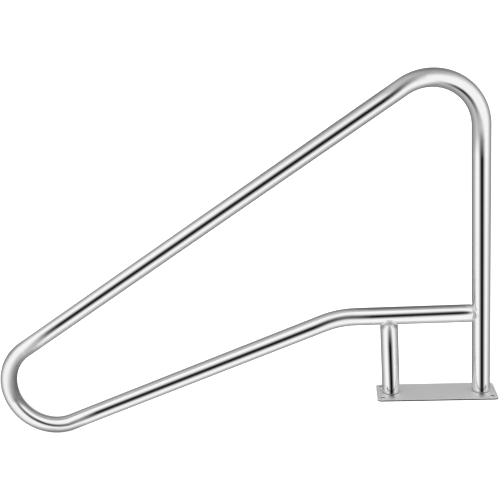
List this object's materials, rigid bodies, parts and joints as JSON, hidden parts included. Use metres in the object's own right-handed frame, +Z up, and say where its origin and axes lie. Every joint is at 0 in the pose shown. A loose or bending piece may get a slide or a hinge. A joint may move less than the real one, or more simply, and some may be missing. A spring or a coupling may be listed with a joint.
{
  "type": "pool handrail",
  "caption": "Stainless stair handrail for a pool: one bent tube closed into a sloping loop, with a short support post, welded to a flat bolt-down base plate.",
  "frame": {"origin": "centre of the base plate's underside, where it rests on the deck, at the centre of the four bolt holes", "axes": "+Z up out of the deck, +X from the nose of the rail towards the rear post, Y across the rail; the rail lies in the XZ plane"},
  "size_m": [1.4358, 0.1, 0.995],
  "materials": {
    "polished_tube": "stainless, polished bright on the straight runs, softer hand polish in the bends and beside the welds",
    "satin_plate": "stainless plate, even satin, rubbed in patches round the feet and at the ends",
    "weld_metal": "stainless weld bead, brushed, finely rippled"
  },
  "bodies": {
    "root": {"handrail_tube": "polished_tube", "support_post": "polished_tube", "base_plate": "satin_plate", "rear_post_weld": "weld_metal", "support_foot_weld": "weld_metal", "support_head_weld": "weld_metal", "rail_end_weld": "weld_metal"}
  },
  "joints": []
}
